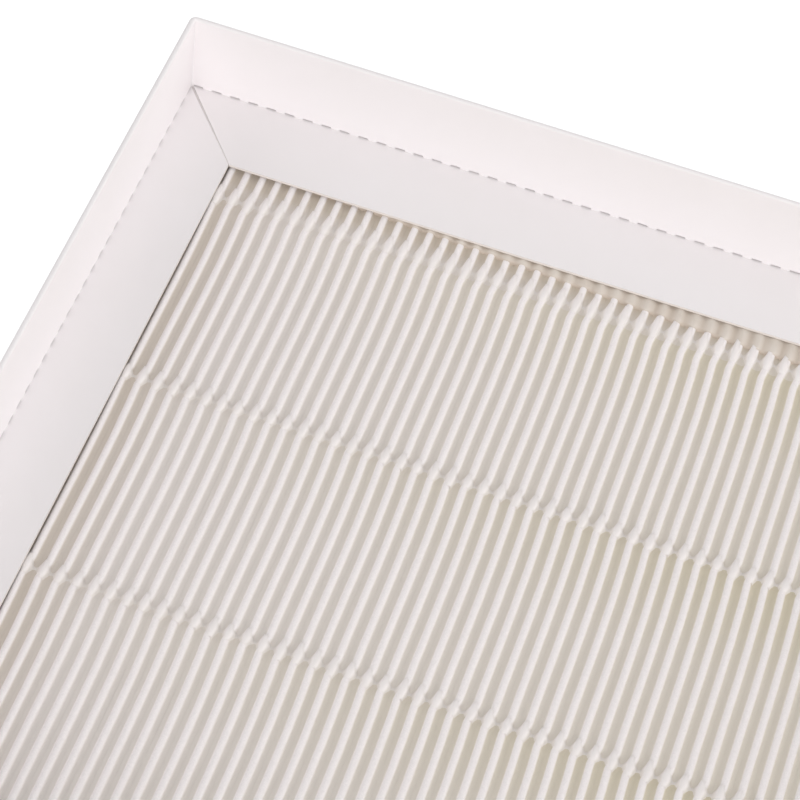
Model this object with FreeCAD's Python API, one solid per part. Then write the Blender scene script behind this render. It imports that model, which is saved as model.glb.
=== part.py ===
import FreeCAD
import Part
import math
import os

# A panel filter for an air cleaner, in millimetres. A sheet of filter media is folded
# into pleats that run along Y, threads of glue hold the pleats apart on both faces, and
# a frame folded from one board blank stands round the pack as a wall with a rolled rim.
# Z points out of the front. The part rests on its back flange, centred on the origin.

# Pleated pack.
pleat_pitch = 3.4
pleat_count = 64
pleat_height = 28.4
media_length = 200.0
media_thickness = 0.6

# Glue threads across the pleats, evenly spaced along them.
thread_count = 4
thread_width = 2.8
thread_cap = 0.4

# Glue seals between the pack and the frame, and the lips that run out over the tips. The
# far lip's edge slants out from under the flange at its exit, counted from the first
# tip, and then runs level, clear of the first thread by the lip gap.
side_seal = 1.2
end_seal = 2.5
lip_exit = 52.0
lip_level = 166.5
lip_gap = 2.6
lip_cover = 3.0

# Folded board of the frame.
board = 0.5
ply_gap = 0.2
corner_radius = 1.5
recess_depth = 19.8
side_flange = 15.3
end_flange = 18.3
back_flange = 15.5
mitre_gap = 0.15
fold_bevel = 0.3

# Cut crease between the inner ply and the front flange, and the blank's own joint.
cut_length = 2.2
cut_spacing = 4.15
cut_height = 0.4
cut_margin = 1.5
seam_gap = 0.3
lap_length = 14.0

# How far a cutting tool runs past the face that it leaves by.
overrun = 0.05

# Levels, from the floor up.
floor_level = board
back_tips = floor_level + thread_cap
front_tips = back_tips + pleat_height
roof_level = front_tips + thread_cap
flange_level = roof_level + board
rim_level = flange_level + recess_depth

# Widths, from the pack outwards.
pack_width = pleat_count * pleat_pitch
outer_width = pack_width + 2 * (side_seal + board)
outer_length = media_length + 2 * (end_seal + board)
wall = 2 * board + ply_gap
rim_radius = wall / 2

# The fold's two faces are parallel, one sheet apart, and its tip is two sheets wide.
fold_run = pleat_pitch / 2 - media_thickness
fold_rise = pleat_height - media_thickness
tip_width = 2 * media_thickness * (math.hypot(fold_run, fold_rise) - fold_run) / fold_rise
first_tip = -pack_width / 2 + pleat_pitch / 2
last_tip = pack_width / 2 - pleat_pitch / 2
tips = [first_tip + i * pleat_pitch for i in range(pleat_count)]

# The first and last threads lie half a spacing from the pleats' ends.
thread_spacing = media_length / thread_count
first_thread = media_length / 2 - thread_spacing / 2
thread_places = [first_thread - i * thread_spacing for i in range(thread_count)]

# Walls in turn: left, far, right, near. Each is as long as its straight run.
origin = FreeCAD.Vector(0, 0, 0)
upwards = FreeCAD.Vector(0, 0, 1)
side_run = outer_length - 2 * corner_radius
end_run = outer_width - 2 * corner_radius
wall_runs = [side_run, end_run, side_run, end_run]
wall_flanges = [side_flange, end_flange, side_flange, end_flange]
wall_starts = [
    FreeCAD.Vector(-outer_width / 2, corner_radius - outer_length / 2, 0),
    FreeCAD.Vector(corner_radius - outer_width / 2, outer_length / 2, 0),
    FreeCAD.Vector(outer_width / 2, outer_length / 2 - corner_radius, 0),
    FreeCAD.Vector(outer_width / 2 - corner_radius, -outer_length / 2, 0),
]
near_wall = len(wall_runs) - 1


def box(low, high):
    """Block between two corners."""
    size = [high[i] - low[i] for i in range(3)]
    return Part.makeBox(size[0], size[1], size[2], FreeCAD.Vector(low))


def along_folds(outline, low_y, high_y):
    """Solid with this outline in X and Z, from one Y to the other."""
    points = [FreeCAD.Vector(x, low_y, z) for x, z in outline]
    face = Part.Face(Part.makePolygon(points + points[:1]))
    return face.extrude(FreeCAD.Vector(0, high_y - low_y, 0))


def upright(outline, low_z, high_z):
    """Solid with this outline in X and Y, from one level to the other."""
    points = [FreeCAD.Vector(x, y, low_z) for x, y in outline]
    face = Part.Face(Part.makePolygon(points + points[:1]))
    return face.extrude(FreeCAD.Vector(0, 0, high_z - low_z))


def on_wall(shape, turn):
    """Bring a shape from a wall's own axes, X inwards and Y along it, to its place."""
    placed = shape.copy()
    placed.rotate(origin, upwards, -90 * turn)
    placed.translate(wall_starts[turn])
    return placed


def pleated_media():
    """One sheet folded to and fro, with pressed folds and a cut edge at each side."""
    front = []
    back = []
    for tip in tips:
        front += [(tip - tip_width / 2, front_tips), (tip + tip_width / 2, front_tips)]
        front.append((tip + pleat_pitch / 2, back_tips + media_thickness))
        back.append((tip - pleat_pitch / 2 + tip_width / 2, back_tips))
        back.append((tip, front_tips - media_thickness))
        back.append((tip + pleat_pitch / 2 - tip_width / 2, back_tips))
    left_edge = [(-pack_width / 2, back_tips), (-pack_width / 2, back_tips + media_thickness)]
    right_edge = [(pack_width / 2, back_tips)]
    outline = left_edge + front + right_edge + back[::-1]
    return along_folds(outline, -media_length / 2, media_length / 2)


def front_thread():
    """Glue that fills the front valleys under one line across the tips."""
    first_edge = first_tip - tip_width / 2
    last_edge = last_tip + tip_width / 2
    outline = [(first_edge, front_tips), (first_edge, roof_level)]
    outline += [(last_edge, roof_level), (last_edge, front_tips)]
    for tip in reversed(tips[1:]):
        outline.append((tip - tip_width / 2, front_tips))
        outline.append((tip - pleat_pitch / 2, back_tips + media_thickness))
        outline.append((tip - pleat_pitch + tip_width / 2, front_tips))
    return along_folds(outline, -thread_width / 2, thread_width / 2)


def back_thread():
    """Glue that fills the back valleys over one line across the back tips."""
    edge = pack_width / 2 - tip_width / 2
    outline = [(edge, floor_level), (-edge, floor_level)]
    for tip in tips:
        outline.append((tip - pleat_pitch / 2 + tip_width / 2, back_tips))
        outline.append((tip, front_tips - media_thickness))
        outline.append((tip + pleat_pitch / 2 - tip_width / 2, back_tips))
    return along_folds(outline, -thread_width / 2, thread_width / 2)


def side_glue():
    """Wedge of glue between the left wall and the first pleat's slope."""
    wall_face = -pack_width / 2 - side_seal
    tip_edge = first_tip - tip_width / 2
    outline = [
        (wall_face, floor_level),
        (-pack_width / 2, floor_level),
        (-pack_width / 2, back_tips + media_thickness),
        (tip_edge, front_tips),
        (tip_edge, roof_level),
        (wall_face, roof_level),
    ]
    return along_folds(outline, -media_length / 2, media_length / 2)


def inside_frame():
    """Space inside the outer ply, between the two flanges."""
    half_x = outer_width / 2 - board
    half_y = outer_length / 2 - board
    block = box((-half_x, -half_y, floor_level), (half_x, half_y, roof_level))
    uprights = [edge for edge in block.Edges if abs(edge.tangentAt(0).z) > 0.5]
    return block.makeFillet(corner_radius - board, uprights)


def end_glue(lip_edge):
    """Bar of glue behind the pleats' far ends, with the lip that it leaves on the tips."""
    half_x = outer_width / 2
    bar_low = (-half_x, media_length / 2, floor_level)
    bar_high = (half_x, outer_length / 2, roof_level)
    bar = inside_frame().common(box(bar_low, bar_high))
    corners = [(lip_edge[-1][0], media_length / 2), (lip_edge[0][0], media_length / 2)]
    lip = upright(lip_edge + corners, front_tips, roof_level)
    return bar.fuse(lip).removeSplitter()


def far_end_glue():
    """Far seal: its lip slants out from under the flange and then runs level with it."""
    opening = outer_length / 2 - wall - end_flange
    half_x = last_tip + tip_width / 2
    level_y = first_thread + thread_width / 2 + lip_gap
    hidden = lip_exit * (opening - level_y) / (lip_level - lip_exit)
    lip_edge = [(-half_x, opening + hidden), (lip_level - half_x, level_y), (half_x, level_y)]
    return end_glue(lip_edge)


def near_end_glue():
    """Near seal: its lip stays under the flange, and it makes room for the lap."""
    half_x = last_tip + tip_width / 2
    hidden = outer_length / 2 - wall - end_flange + lip_cover
    glue = end_glue([(-half_x, hidden), (half_x, hidden)])
    glue.rotate(origin, upwards, 180)
    return glue.cut(lap())


def wall_section():
    """Cut through a wall: back fold, outer ply, rolled rim and inner ply."""
    inner_ply = board + ply_gap
    roll_level = rim_level - rim_radius

    def at(inwards, level):
        return FreeCAD.Vector(inwards, 0, level)

    rim = Part.Arc(at(0, roll_level), at(rim_radius, rim_level), at(wall, roll_level))
    outline = [
        at(wall, roll_level),
        at(wall, roof_level),
        at(inner_ply, roof_level),
        at(inner_ply, roll_level),
        at(board, roll_level),
        at(board, 0),
        at(fold_bevel, 0),
        at(0, fold_bevel),
        at(0, roll_level),
    ]
    return Part.Face(Part.Wire([rim.toShape()] + Part.makePolygon(outline).Edges))


def cut_places(run):
    """Middles of the crease cuts of a wall, evenly spaced from corner to corner."""
    inner_run = run + 2 * (corner_radius - wall)
    span = inner_run - 2 * cut_margin
    gaps = round(span / cut_spacing)
    start = (run - span) / 2
    return [start + i * span / gaps for i in range(gaps + 1)]


def straight_wall(turn):
    """Straight run of a wall with the cuts of its crease, in the wall's own axes."""
    run = wall_runs[turn]
    solid = wall_section().extrude(FreeCAD.Vector(0, run, 0))
    cuts = []
    for place in cut_places(run):
        low = (board + ply_gap - overrun, place - cut_length / 2, flange_level)
        high = (wall + overrun, place + cut_length / 2, flange_level + cut_height)
        cuts.append(box(low, high))
    if turn == near_wall:
        cuts.append(seam())
    return solid.cut(Part.makeCompound(cuts))


def seam_place():
    """Where the blank's two ends meet: between the near wall's first two cuts."""
    places = cut_places(wall_runs[near_wall])
    return (places[0] + places[1]) / 2


def seam():
    """Gap between the blank's two ends, through both plies and the rim."""
    low = (-overrun, seam_place() - seam_gap / 2, -overrun)
    high = (wall + overrun, seam_place() + seam_gap / 2, rim_level + overrun)
    return box(low, high)


def lap():
    """Glue lap of the blank, inside the near wall and round from the right wall."""
    low = (board, board - corner_radius, floor_level)
    high = (2 * board, seam_place() + lap_length, roof_level)
    return on_wall(box(low, high), near_wall).common(inside_frame())


def rounded_corner(turn):
    """Quarter turn of the wall's section, from this wall to the next."""
    section = wall_section()
    section.translate(FreeCAD.Vector(0, wall_runs[turn], 0))
    centre = FreeCAD.Vector(corner_radius, wall_runs[turn], 0)
    return section.revolve(centre, upwards, -90)


def flange(turn, start, width, side_width, low_z):
    """Strip folded inwards from a wall, its ends cut for the mitred corners."""
    run = wall_runs[turn]
    set_back = start + side_width - corner_radius + mitre_gap
    outline = [
        (start, 0),
        (start, run),
        (start + width, run - set_back),
        (start + width, set_back),
    ]
    return upright(outline, low_z, low_z + board)


def frame():
    """The folded blank: four walls, four corners, two flanges a wall and the lap."""
    pieces = [lap()]
    for turn in range(4):
        width = wall_flanges[turn]
        side_width = wall_flanges[turn - 1]
        front = flange(turn, wall, width, side_width, roof_level)
        back = flange(turn, board, back_flange, back_flange, 0)
        for piece in (straight_wall(turn), rounded_corner(turn), front, back):
            pieces.append(on_wall(piece, turn))
    return pieces[0].multiFuse(pieces[1:]).removeSplitter()


def save(node, shape):
    """Write one piece, and say what it holds."""
    solid = shape.Solids[0]
    solid.exportStep(os.path.join("parts", node + ".step"))
    print(node, len(shape.Solids), solid.isValid(), round(solid.Volume, 1))


def mirrored(shape):
    """The same shape on the other side of the pack."""
    return shape.mirror(origin, FreeCAD.Vector(1, 0, 0))


os.makedirs("parts", exist_ok=True)
save("frame", frame())
save("pleated_media", pleated_media())
for number, place in enumerate(thread_places, 1):
    for face, thread in (("front", front_thread()), ("back", back_thread())):
        thread.translate(FreeCAD.Vector(0, place, 0))
        save(face + "_glue_thread_" + str(number), thread)
save("left_side_seal", side_glue())
save("right_side_seal", mirrored(side_glue()))
save("far_end_seal", far_end_glue())
save("near_end_seal", near_end_glue())
print("size", outer_width, outer_length, rim_level)
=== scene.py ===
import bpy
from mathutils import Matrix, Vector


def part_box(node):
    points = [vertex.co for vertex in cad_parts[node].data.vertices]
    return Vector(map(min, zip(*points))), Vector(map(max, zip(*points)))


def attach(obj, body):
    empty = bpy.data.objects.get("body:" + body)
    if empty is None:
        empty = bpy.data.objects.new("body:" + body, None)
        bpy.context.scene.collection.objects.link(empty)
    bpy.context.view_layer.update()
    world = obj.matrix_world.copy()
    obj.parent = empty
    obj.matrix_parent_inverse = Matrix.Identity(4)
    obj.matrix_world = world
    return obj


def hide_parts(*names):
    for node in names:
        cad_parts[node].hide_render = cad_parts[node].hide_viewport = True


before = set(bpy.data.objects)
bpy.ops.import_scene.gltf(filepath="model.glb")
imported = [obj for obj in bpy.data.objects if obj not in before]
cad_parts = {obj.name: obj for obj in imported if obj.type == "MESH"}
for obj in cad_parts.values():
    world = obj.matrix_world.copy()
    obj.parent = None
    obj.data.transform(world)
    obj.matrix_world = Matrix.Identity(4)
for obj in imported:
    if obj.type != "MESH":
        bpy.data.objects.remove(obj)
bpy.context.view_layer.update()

import math
import random

import bmesh
import bpy
from mathutils import Matrix, Vector

# Pleated sheet. Cream nonwoven filter media in one length, folded to and fro, its tips
# round and all of one height. The soft folds spring open until they press on each other
# just below the tips. Held at the glue rows only, they sway a little in between.
pack_low, pack_high = (Vector(corner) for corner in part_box("pleated_media"))
pleat_pitch = 0.0034
pleat_count = round((pack_high.x - pack_low.x) / pleat_pitch)
first_tip = pack_low.x + pleat_pitch / 2
sheet_thickness = 0.0006
press = 0.00018
row_count = 4
row_spacing = (pack_high.y - pack_low.y) / row_count
row_places = [pack_high.y - (i + 0.5) * row_spacing for i in range(row_count)]
steps_from_row = [0.002, 0.005, 0.009, 0.009]
sway_reach = 0.12 * pleat_pitch
sway_to_full = 27 / 4
sway_spread = 0.12
row_jog = 0.22 * pleat_pitch
wander = 0.00004
edge_pleats = 5
still_middle = 0.05
bend_power = 1.5
draw = random.Random(11)
pleat_draws = [[draw.uniform(-1, 1) for _ in range(3)] for _ in range(pleat_count + 1)]


def edit_all(piece):
    """Take one piece into edit mode with all of it selected."""
    bpy.ops.object.select_all(action="DESELECT")
    piece.select_set(True)
    bpy.context.view_layer.objects.active = piece
    bpy.ops.object.mode_set(mode="EDIT")
    bpy.ops.mesh.select_all(action="SELECT")


def keep_one_corner(piece, place):
    """Leave one vertex of a new piece, at this place, selected in edit mode."""
    edit_all(piece)
    bpy.ops.mesh.select_mode(type="VERT")
    bpy.ops.mesh.select_all(action="DESELECT")
    shape = bmesh.from_edit_mesh(piece.data)
    shape.verts.ensure_lookup_table()
    for vertex in shape.verts[1:]:
        vertex.select_set(True)
    bpy.ops.mesh.delete(type="VERT")
    shape = bmesh.from_edit_mesh(piece.data)
    shape.verts.ensure_lookup_table()
    shape.verts[0].co = place
    bmesh.update_edit_mesh(piece.data)
    bpy.ops.mesh.select_all(action="SELECT")


def extrude_by(step):
    """Extrude what is selected by one step."""
    bpy.ops.mesh.extrude_region_move(TRANSFORM_OT_translate={"value": step})


def apply_modifier(piece, kind, **values):
    """Add a modifier with these values and apply it."""
    modifier = piece.modifiers.new(kind.title(), kind)
    for name, value in values.items():
        setattr(modifier, name, value)
    bpy.context.view_layer.objects.active = piece
    bpy.ops.object.modifier_apply(modifier=modifier.name)


def repeat_across(piece, count):
    """Repeat a piece pitch by pitch across the pack, joined where the copies meet."""
    apply_modifier(
        piece, "ARRAY", count=count, use_relative_offset=False, use_constant_offset=True,
        constant_offset_displace=(pleat_pitch, 0, 0), use_merge_vertices=True,
        merge_threshold=1e-6,
    )


def one_pleat():
    """Path of one pleat's middle surface, from one back fold to the next."""
    low = pack_low.z + sheet_thickness / 2
    high = pack_high.z - sheet_thickness / 2
    widest = (pleat_pitch - sheet_thickness + press) / 2
    # Half of a front tip from its middle out: how far sideways, and how far below the tip.
    front = [Vector((sideways, 0, below)) for sideways, below in (
        (0, 0), (-0.00022, 0.00004), (-0.00038, 0.0002), (-0.00048, 0.0005),
        (-0.0006, 0.00078), (-0.00084, 0.00095), (0.00004 - widest, 0.00108),
        (-widest, 0.0015),
    )]
    # The back tips have fewer points, which keeps the sheet's triangles down.
    back = [front[0], front[2], front[5], front[7]]
    upper = [Vector((point.x, 0, high - point.z)) for point in front[::-1]]
    lower = [Vector((-pleat_pitch / 2 - point.x, 0, low + point.z)) for point in back]
    rising = lower + upper
    falling = [Vector((-point.x, 0, point.z)) for point in rising[-2::-1]]
    return rising + falling


def lean(y, number):
    """How far a fold leans sideways at a place along it: not at all on a glue row.

    The outermost pleats are held by the frame, and lean less.
    """
    step = (row_places[0] - y) / row_spacing % 1
    from_row = -step if step < 0.5 else 1 - step
    turn = max(-1, min(1, from_row * row_spacing / steps_from_row[0]))
    jog = row_jog / 2 * turn * (1 - 2 * abs(from_row))
    # The bow is greatest a third of the way to the next row, where the rest is 4 / 27.
    bow = sway_reach * sway_to_full * step * (1 - step) ** 2
    first, second, third = pleat_draws[number]
    loose = math.sin(math.pi * step)
    stray = wander * (second + third * math.sin(2 * math.pi * (y / row_spacing + first)))
    inside = min(number, pleat_count - number) / edge_pleats
    return (jog + bow * (1 + sway_spread * first) + loose * stray) * min(1, inside)


path = one_pleat()
bpy.ops.object.select_all(action="DESELECT")
bpy.ops.mesh.primitive_plane_add(size=pleat_pitch)
media = bpy.context.object
media.name = "filter_sheet"
keep_one_corner(media, Vector((first_tip, pack_high.y, 0)) + path[0])
for start, end in zip(path, path[1:]):
    extrude_by(end - start)
bpy.ops.mesh.select_all(action="SELECT")
for step in (steps_from_row[::-1] + steps_from_row) * row_count:
    extrude_by((0, -step, 0))
bpy.ops.object.mode_set(mode="OBJECT")
repeat_across(media, pleat_count)
middle_z = (pack_low.z + pack_high.z) / 2
for vertex in media.data.vertices:
    spot = vertex.co
    rise = (spot.z - middle_z) / (pack_high.z - middle_z)
    across = (spot.x - pack_low.x) / pleat_pitch
    if rise > still_middle:
        spot.x += lean(spot.y, min(pleat_count - 1, int(across))) * rise ** bend_power
    elif rise < -still_middle:
        spot.x += lean(spot.y, round(across)) * (-rise) ** bend_power
edit_all(media)
bpy.ops.mesh.normals_make_consistent(inside=False)
bpy.ops.object.mode_set(mode="OBJECT")
apply_modifier(media, "SOLIDIFY", thickness=sheet_thickness, offset=0, use_even_offset=True)
bpy.ops.object.shade_smooth_by_angle(angle=math.radians(60))


def fill(tree, node, inputs):
    """Give each of these inputs a value or another node's output, and give the outputs."""
    for name, value in inputs.items():
        if isinstance(value, bpy.types.NodeSocket):
            tree.links.new(value, node.inputs[name])
        else:
            node.inputs[name].default_value = value
    return node.outputs


def add(tree, kind, inputs, **settings):
    """Add a node with these inputs and settings, and give its outputs."""
    node = tree.nodes.new("ShaderNode" + kind)
    for name, value in settings.items():
        setattr(node, name, value)
    return fill(tree, node, inputs)


def maths(tree, operation, first, second=0.0, clamp=False):
    """Work out one step on numbers, such as MULTIPLY."""
    return add(tree, "Math", {0: first, 1: second}, operation=operation, use_clamp=clamp)[0]


def ramp(tree, value, start, end, low=0.0, high=1.0):
    """Turn a value from start to end into one from low to high, and no further."""
    return add(tree, "MapRange", {
        "Value": value, "From Min": start, "From Max": end, "To Min": low, "To Max": high,
    })["Result"]


def mix(tree, share, first, second, blend="MIX"):
    """Mix two colours: the first alone at share 0. They are a Mix node's inputs 6 and 7."""
    return add(
        tree, "Mix", {0: share, 6: first, 7: second}, data_type="RGBA", blend_type=blend,
    )[2]


def new_group(name, inputs, outputs):
    """A node group whose inputs are given by name and type, and whose outputs are grey."""
    tree = bpy.data.node_groups.new(name, "ShaderNodeTree")
    for label, kind in inputs.items():
        tree.interface.new_socket(label, in_out="INPUT", socket_type="NodeSocket" + kind)
    for label in outputs:
        tree.interface.new_socket(label, in_out="OUTPUT", socket_type="NodeSocketFloat")
    given = tree.nodes.new("NodeGroupInput").outputs
    return tree, given, tree.nodes.new("NodeGroupOutput").inputs


def use_group(tree, group, inputs):
    """Place a node group in a material, and give its outputs."""
    node = tree.nodes.new("ShaderNodeGroup")
    node.node_tree = group
    return fill(tree, node, inputs)


def new_finish(name, **plain):
    """A material, its node tree, its shader with these values, and object coordinates."""
    finish = bpy.data.materials.new(name)
    finish.use_nodes = True
    tree = finish.node_tree
    shader = tree.nodes["Principled BSDF"]
    for label, value in plain.items():
        shader.inputs[label.replace("_", " ")].default_value = value
    place = tree.nodes.new("ShaderNodeTexCoord").outputs["Object"]
    return finish, tree, shader, place


def roughen(tree, shader, height, strength, distance):
    """Raise the surface where this height is great, by a bump and not by its shape."""
    bump = add(tree, "Bump", {"Height": height, "Strength": strength, "Distance": distance})
    tree.links.new(bump[0], shader.inputs["Normal"])


def dress(piece, finish):
    """Give a piece this one finish."""
    piece.data.materials.clear()
    piece.data.materials.append(finish)


# Fine fibres and slow cloudiness, as pressed fibre has. The fibre size is that of one
# tangle, and the cloud size that of a paler or darker patch, both in metres.
fibres, given, result = new_group(
    "pressed_fibres", {"Place": "Vector", "Fibre size": "Float", "Cloud size": "Float"},
    ["Fibre", "Cloud"],
)
fine = maths(fibres, "DIVIDE", 1.0, given["Fibre size"])
broad = maths(fibres, "DIVIDE", 1.0, given["Cloud size"])
tangle = add(fibres, "TexNoise", {
    "Vector": given["Place"], "Scale": fine, "Detail": 4.0, "Roughness": 0.65,
    "Distortion": 1.2,
})
cloud = add(fibres, "TexNoise", {
    "Vector": given["Place"], "Scale": broad, "Detail": 3.0, "Roughness": 0.55,
})
fibres.links.new(tangle["Fac"], result["Fibre"])
fibres.links.new(cloud["Fac"], result["Cloud"])

# The sheet's own colour is pale cream with paler and darker clouds and fine specks. The deep
# colour and the two tints below are painted shade.
media_pale = (0.99, 0.94, 0.935, 1)
media_cloudy = (0.975, 0.92, 0.91, 1)
media_valley_shade = (0.845, 0.79, 0.76, 1)
media_row_shade = (0.68, 0.61, 0.43, 1)
media_flange_shade = (0.62, 0.53, 0.42, 1)
valley_starts, valley_full = pack_high.z - 0.0003, pack_high.z - 0.00095
row_shade_starts, row_shade_ends = 0.0015, 0.024
row_shade_near_row, row_shade_far = 0.9, 0.42
row_shade_from_x, row_shade_full_x, row_shade_at_left = -0.085, 0.07, 0.1
flange_shade_starts, flange_shade_full = row_places[0] + 0.002, row_places[0] + 0.006
left_shade_starts, left_shade_full = pack_low.x + 0.03, pack_low.x + 0.012
flange_shade_share = 0.7
felt, tree, shader, place = new_finish("soft_nonwoven", Roughness=0.95, Sheen_Weight=0.15)
look = use_group(tree, fibres, {"Place": place, "Fibre size": 0.0004, "Cloud size": 0.012})
clouded = mix(tree, look["Cloud"], media_cloudy, media_pale)
speck = ramp(tree, look["Fibre"], 0.3, 0.7, low=0.93, high=1.03)
flecked = mix(tree, 1.0, clouded, speck, blend="MULTIPLY")
axes = add(tree, "SeparateXYZ", {"Vector": place})
# Painted shade: the sheet darkens down into the valleys between the tips, where shade falls.
in_valley = ramp(tree, axes["Z"], valley_starts, valley_full)
valley_shaded = mix(tree, in_valley, flecked, media_valley_shade)
# Painted shade: in the valleys on the near side of each glue row the sheet turns olive brown,
# fading towards the next row and stronger towards the right.
from_first_row = maths(tree, "SUBTRACT", row_places[0], axes["Y"])
from_own_row = maths(tree, "FLOORED_MODULO", from_first_row, row_spacing)
row_shade = ramp(tree, from_own_row, row_shade_starts, row_shade_ends, low=row_shade_near_row, high=row_shade_far)
shade_to_right = ramp(tree, axes["X"], row_shade_from_x, row_shade_full_x, low=row_shade_at_left)
row_shade_in_valley = maths(tree, "MULTIPLY", row_shade, in_valley)
painted_row_shade = maths(tree, "MULTIPLY", row_shade_in_valley, shade_to_right)
row_shaded = mix(tree, painted_row_shade, valley_shaded, media_row_shade)
# Painted shade: the valleys turn warm brown next to the far flange and along the left edge,
# where the flange's shadow falls.
by_flange = ramp(tree, axes["Y"], flange_shade_starts, flange_shade_full)
by_left = ramp(tree, axes["X"], left_shade_starts, left_shade_full)
by_either = maths(tree, "MAXIMUM", by_flange, by_left)
flange_shade_in_valley = maths(tree, "MULTIPLY", by_either, in_valley)
painted_flange_shade = maths(tree, "MULTIPLY", flange_shade_in_valley, flange_shade_share)
flange_shaded = mix(tree, painted_flange_shade, row_shaded, media_flange_shade)
tree.links.new(flange_shaded, shader.inputs["Base Color"])
roughen(tree, shader, look["Fibre"], strength=0.5, distance=0.00012)
dress(media, felt)

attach(media, "root")
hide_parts("pleated_media")

# Glue rows. Threads of pale hot-melt glue are run across the sheet before it is folded,
# and stick to themselves in every valley, which spaces the pleats. Each thread squeezes
# out over the tips as a row of soft lumps, and hangs between them as a thin web.
thread_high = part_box("front_glue_thread_1")[1]
row_sides = 12
row_cuts = 7
row_seed = 40
lump_half_length = 0.0021
lump_length_spread = 0.18
lump_rise = thread_high.z - pack_high.z
lump_rise_spread = 0.12
lump_stray = 0.0003
lump_sidestep = 0.00012
swell_gain = 1.5
swell_power = 1.3
web_half_length = 0.0013
web_drop = 0.00098
web_depth = 0.0065
web_arch = 0.4
over_fold = 0.8
fold_cover = 0.00035
first_row_shift = 0.0022
first_row_stretch = 0.0006
first_row_slant = 0.012


def glue_row(name, middle_y, front, seed, stretch=0, slant=0):
    """One thread along the row at this place, on the front or the back of the pack."""
    chance = random.Random(seed)
    count = pleat_count - 1 if front else pleat_count
    start_x = first_tip if front else pack_low.x
    bpy.ops.object.select_all(action="DESELECT")
    bpy.ops.mesh.primitive_cylinder_add(
        vertices=row_sides, radius=1, depth=pleat_pitch, end_fill_type="NOTHING",
        rotation=(0, math.pi / 2, 0), location=(start_x + pleat_pitch / 2, 0, 0),
    )
    row = bpy.context.object
    row.name = name
    bpy.ops.object.transform_apply(location=True, rotation=True, scale=True)
    edit_all(row)
    bpy.ops.mesh.select_mode(type="EDGE")
    bpy.ops.mesh.select_all(action="DESELECT")
    shape = bmesh.from_edit_mesh(row.data)
    for edge in shape.edges:
        if abs(edge.verts[0].co.x - edge.verts[1].co.x) > pleat_pitch / 2:
            edge.select_set(True)
    bpy.ops.mesh.subdivide(number_cuts=row_cuts)
    bpy.ops.object.mode_set(mode="OBJECT")
    repeat_across(row, count)
    edit_all(row)
    bpy.ops.mesh.select_all(action="DESELECT")
    bpy.ops.mesh.select_non_manifold()
    bpy.ops.mesh.edge_face_add()
    bpy.ops.mesh.select_all(action="SELECT")
    bpy.ops.mesh.normals_make_consistent(inside=False)
    bpy.ops.object.mode_set(mode="OBJECT")
    lumps = [[chance.uniform(-1, 1) for _ in range(4)] for _ in range(count + 1)]
    for vertex in row.data.vertices:
        spot = vertex.co
        across = (spot.x - start_x) / pleat_pitch
        size, shift, side, level = lumps[round(across)]
        on_tip = 0.5 + 0.5 * math.cos(2 * math.pi * across)
        swell = min(1, swell_gain * on_tip) ** swell_power
        lump_half = lump_half_length * (1 + lump_length_spread * size)
        half = web_half_length + (lump_half - web_half_length) * swell + stretch
        rise = lump_rise * (1 - lump_rise_spread + lump_rise_spread * level)
        top = pack_high.z - web_drop + (web_drop + rise) * swell
        # Over a fold the glue only covers the tip. Between folds it reaches down as a web.
        if on_tip > over_fold:
            bottom = pack_high.z - fold_cover
        else:
            bottom = pack_high.z - web_depth * (1 - web_arch * on_tip)
        spot.y = middle_y + slant * spot.x + spot.y * half + lump_stray * shift * swell
        spot.z = (top + bottom) / 2 + spot.z * (top - bottom) / 2
        spot.x += lump_sidestep * side * swell
        if not front:
            spot.z = pack_low.z + pack_high.z - spot.z
    if not front:
        edit_all(row)
        bpy.ops.mesh.normals_make_consistent(inside=False)
        bpy.ops.object.mode_set(mode="OBJECT")
    bpy.ops.object.select_all(action="DESELECT")
    row.select_set(True)
    bpy.ops.object.shade_smooth_by_angle(angle=math.radians(75))
    return row


glue_pale = (0.96, 0.908, 0.897, 1)
glue_valley_shade = (0.845, 0.795, 0.755, 1)
web_shade_starts, web_shade_full = pack_high.z + 0.0001, pack_high.z - 0.0006
streak_share = 0.5
hot_melt, tree, shader, place = new_finish("pale_hot_melt", Roughness=0.5)
look = use_group(tree, fibres, {"Place": place, "Fibre size": 0.0009, "Cloud size": 0.004})
axes = add(tree, "SeparateXYZ", {"Vector": place})
# Painted shade: the glue darkens where its web reaches down into the valleys. Random clouded
# streaks of the glue's own tone darken it a little too.
web_shade = ramp(tree, axes["Z"], web_shade_starts, web_shade_full)
streak = maths(tree, "MULTIPLY", look["Cloud"], streak_share)
shade_and_streak = maths(tree, "ADD", web_shade, streak, clamp=True)
cast = mix(tree, shade_and_streak, glue_pale, glue_valley_shade)
tree.links.new(cast, shader.inputs["Base Color"])
roughen(tree, shader, look["Fibre"], strength=0.35, distance=0.0002)

for number, middle_y in enumerate(row_places, 1):
    for side in ("front", "back"):
        node = f"{side}_glue_thread_{number}"
        row_name = f"{side}_glue_row_{number}"
        if side == "front" and number == 1:
            row = glue_row(
                row_name, middle_y + first_row_shift, True, row_seed + number,
                first_row_stretch, first_row_slant,
            )
        else:
            row = glue_row(row_name, middle_y, side == "front", row_seed + number)
        dress(row, hot_melt)
        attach(row, "root")
        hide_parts(node)

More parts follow.
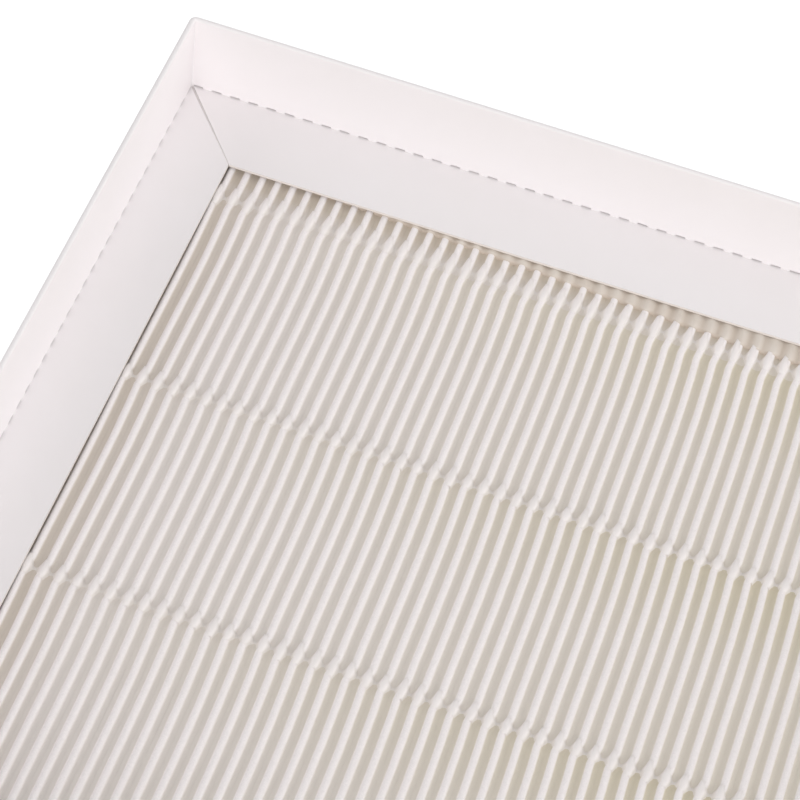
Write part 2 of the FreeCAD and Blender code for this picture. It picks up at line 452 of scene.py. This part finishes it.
# Far end seal. Beige hot-melt glue is poured along the pleats' ends to bond them to the
# frame. It runs out from under the flange over the tips in a slanting band, fills the
# valleys there nearly to the top, and lets the pale tips show through.
seal_low, seal_high = (Vector(corner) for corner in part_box("far_end_seal"))
band_exit = Vector((-0.0557, 0.0835))
band_level = Vector((0.02, 0.0794))
band_steps = 8
band_depth = 0.0055
band_arch = 0.4
band_over_fold = 0.7
band_fold_cover = 0.0004
edge_stray = 0.00025
edge_bay = 0.0003
crown = 0.0003
sink, sink_spread = 0.0003, 0.00012
lip_height, lip_less_on_tip = 0.0004, 0.0002
roof_gap = 0.00002
under_reach, inner_reach, brow_reach = 0.006, 0.003, 0.0005
band_profile = [
    ("wall", "floor"), ("wall", "roof"), ("under", "roof"), ("inner", "top"), ("brow", "top"),
    ("edge", "lip"), ("edge", "deep"), ("ends", "deep"), ("ends", "floor"),
]


def band_edge(x):
    """Where the band's free edge lies: slanting, then level."""
    slope = (band_level.y - band_exit.y) / (band_level.x - band_exit.x)
    return max(band_level.y, band_exit.y + slope * (x - band_exit.x))


bpy.ops.object.select_all(action="DESELECT")
bpy.ops.mesh.primitive_circle_add(vertices=len(band_profile), radius=1, fill_type="NOTHING")
band = bpy.context.object
band.name = "far_seal_band"
edit_all(band)
shape = bmesh.from_edit_mesh(band.data)
shape.verts.ensure_lookup_table()
for number, vertex in enumerate(shape.verts):
    vertex.co = (pack_low.x, number, 0)
bmesh.update_edit_mesh(band.data)
for _ in range(band_steps):
    extrude_by((pleat_pitch / band_steps, 0, 0))
bpy.ops.object.mode_set(mode="OBJECT")
repeat_across(band, pleat_count)
edit_all(band)
bpy.ops.mesh.select_mode(type="EDGE")
bpy.ops.mesh.select_all(action="DESELECT")
bpy.ops.mesh.select_non_manifold()
bpy.ops.mesh.edge_face_add()
bpy.ops.object.mode_set(mode="OBJECT")
draw = random.Random(5)
runs = [[draw.uniform(-1, 1) for _ in range(3)] for _ in range(pleat_count + 1)]
for vertex in band.data.vertices:
    spot = vertex.co
    along, height = band_profile[round(spot.y)]
    across = (spot.x - pack_low.x) / pleat_pitch
    on_tip = 0.5 - 0.5 * math.cos(2 * math.pi * across)
    number = min(pleat_count - 1, int(across))
    ragged, sag, _ = runs[number]
    edge = band_edge(spot.x) + edge_stray * ragged * on_tip + edge_bay * (1 - on_tip)
    surface = pack_high.z + crown * on_tip - (sink + sink_spread * sag) * (1 - on_tip)
    # Over a fold the glue only covers the tip. Between folds it fills the valley.
    if on_tip > band_over_fold:
        deep = pack_high.z - band_fold_cover
    else:
        deep = pack_high.z - band_depth * (1 - band_arch * on_tip)
    spot.x += lean(edge, number)
    spot.y = {
        "wall": seal_high.y, "under": edge + under_reach, "inner": edge + inner_reach,
        "brow": edge + brow_reach, "edge": edge, "ends": pack_high.y,
    }[along]
    spot.z = {
        "floor": seal_low.z, "roof": seal_high.z - roof_gap, "top": surface,
        "lip": surface - lip_height + lip_less_on_tip * on_tip, "deep": deep,
    }[height]

# The glue wells up into the two mitre seams of the flange over it, and is pale there.
seam_from = Vector((0.1091, 0.1016))
seam_to = Vector((0.0941, 0.0836))
seam_low, seam_high = seal_high.z - 0.0002, seal_high.z + 0.00047
seam_half = 0.000074
seam_run = seam_to - seam_from
seam_middle = (seam_from + seam_to) / 2
for side in (-1, 1):
    bpy.ops.object.select_all(action="DESELECT")
    bpy.ops.mesh.primitive_cube_add(
        size=1, scale=(seam_run.length, 2 * seam_half, seam_high - seam_low),
        location=(*seam_middle, (seam_low + seam_high) / 2),
        rotation=(0, 0, math.atan2(seam_run.y, seam_run.x)),
    )
    fin = bpy.context.object
    bpy.ops.object.transform_apply(location=True, rotation=True, scale=True)
    for vertex in fin.data.vertices:
        vertex.co.x *= side
    band.select_set(True)
    bpy.context.view_layer.objects.active = band
    bpy.ops.object.join()
edit_all(band)
bpy.ops.mesh.normals_make_consistent(inside=False)
bpy.ops.object.mode_set(mode="OBJECT")
bpy.ops.object.shade_smooth_by_angle(angle=math.radians(75))

seal_pale = (0.75, 0.68, 0.61, 1)
seal_deep = (0.62, 0.53, 0.45, 1)
veil_starts, veil_full = pack_high.z - 0.0004, pack_high.z + 0.0002
veil_gain = 1.6
seal_melt, tree, shader, place = new_finish("beige_hot_melt", Roughness=0.5)
look = use_group(tree, fibres, {"Place": place, "Fibre size": 0.0008, "Cloud size": 0.006})
axes = add(tree, "SeparateXYZ", {"Vector": place})
over_tip = ramp(tree, axes["Z"], veil_starts, veil_full)
clouded = maths(tree, "MULTIPLY", look["Cloud"], over_tip)
veil = maths(tree, "MULTIPLY", clouded, veil_gain, clamp=True)
cast = mix(tree, veil, seal_deep, seal_pale)
tree.links.new(cast, shader.inputs["Base Color"])
roughen(tree, shader, look["Fibre"], strength=0.3, distance=0.00015)
dress(band, seal_melt)
band.data.materials.append(hot_melt)
for face in band.data.polygons:
    face.material_index = 1 if face.center.z > seal_high.z else 0
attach(band, "root")
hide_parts("far_end_seal")

# Side and near seals. The same beige glue, run between the pack and the other three
# walls. It lies under the flanges and levels itself, so it keeps its plain shape.
for node in ("left_side_seal", "right_side_seal", "near_end_seal"):
    dress(bpy.data.objects[node], seal_melt)

# Frame. One blank of smooth white coated board, folded double over a rolled rim, with a
# row of short cuts along the inner crease. The opening's cut edge shows the warmer core.
board_pale = (0.94, 0.905, 0.915, 1)
board_cloudy = (0.92, 0.88, 0.88, 1)
board_core = (0.84, 0.785, 0.74, 1)
half_opening = {"X": 0.094, "Y": 0.0835}
core_ends, coat_starts = 0.00002, 0.00018
coated, tree, shader, place = new_finish("white_coated_board", Roughness=0.55)
look = use_group(tree, fibres, {"Place": place, "Fibre size": 0.0011, "Cloud size": 0.02})
clouded = mix(tree, look["Cloud"], board_cloudy, board_pale)
axes = add(tree, "SeparateXYZ", {"Vector": place})
past_x, past_y = (
    maths(tree, "SUBTRACT", maths(tree, "ABSOLUTE", axes[axis]), half)
    for axis, half in half_opening.items()
)
past_edge = maths(tree, "MAXIMUM", past_x, past_y)
on_edge = ramp(tree, past_edge, core_ends, coat_starts, low=1.0, high=0.0)
edged = mix(tree, on_edge, clouded, board_core)
tree.links.new(edged, shader.inputs["Base Color"])
roughen(tree, shader, look["Fibre"], strength=0.12, distance=0.0001)
dress(bpy.data.objects["frame"], coated)

# Floor, world, lamps and camera. A plain pale floor and soft studio light. The camera
# sees floor and world as white, while both light the object by less than that.
floor_glow = 0.57
world_level = 0.49
bpy.ops.object.select_all(action="DESELECT")
bpy.ops.mesh.primitive_plane_add(size=6)
floor = bpy.context.object
floor.name = "studio_floor"
ground, tree, shader, _ = new_finish(
    "pale_floor", Roughness=0.8, Base_Color=(0.78, 0.78, 0.78, 1), Emission_Color=(1, 1, 1, 1),
)
seen = add(tree, "LightPath", {})
glow = maths(tree, "MULTIPLY", seen["Is Camera Ray"], floor_glow)
tree.links.new(glow, shader.inputs["Emission Strength"])
dress(floor, ground)

world = bpy.data.worlds.new("studio_world")
bpy.context.scene.world = world
world.use_nodes = True
tree = world.node_tree
sky = tree.nodes["Background"]
seen = add(tree, "LightPath", {})
seen_or_shiny = maths(tree, "MAXIMUM", seen["Is Camera Ray"], seen["Is Glossy Ray"])
shown = maths(tree, "MAXIMUM", seen_or_shiny, seen["Is Transmission Ray"])
level = ramp(tree, shown, 0.0, 1.0, low=world_level, high=1.0)
sky.inputs["Color"].default_value = (1, 1, 1, 1)
tree.links.new(level, sky.inputs["Strength"])

for name, place, size, power in (
    ("side_softbox", (0.82, 0.15, 0.33), 0.6, 3.4),
    ("front_softbox", (0.12, -1.15, 0.55), 0.8, 6.6),
    ("far_left_softbox", (-0.9, 0.1, 0.5), 0.6, 1.7),
):
    lamp = bpy.data.lights.new(name, "AREA")
    lamp.shape = "SQUARE"
    lamp.size = size
    lamp.energy = power
    holder = bpy.data.objects.new(name, lamp)
    bpy.context.collection.objects.link(holder)
    holder.location = place
    holder.rotation_euler = (-Vector(place)).to_track_quat("-Z", "Y").to_euler()

camera_place = (0.03743, -0.32267, 0.49920)
right = Vector((0.94345, 0.3194, 0.08879))
down = Vector((0.30464, -0.72967, -0.61218))
forward = Vector((-0.13075, 0.60461, -0.78571))
lens = bpy.data.cameras.new("camera")
lens.sensor_width = 36
lens.lens = 135.55
lens.clip_start = 0.01
camera = bpy.data.objects.new("camera", lens)
bpy.context.collection.objects.link(camera)
turned = Matrix((right, -down, -forward)).transposed().to_4x4()
camera.matrix_world = Matrix.Translation(camera_place) @ turned
bpy.context.scene.camera = camera
bpy.context.scene.view_settings.view_transform = "Standard"
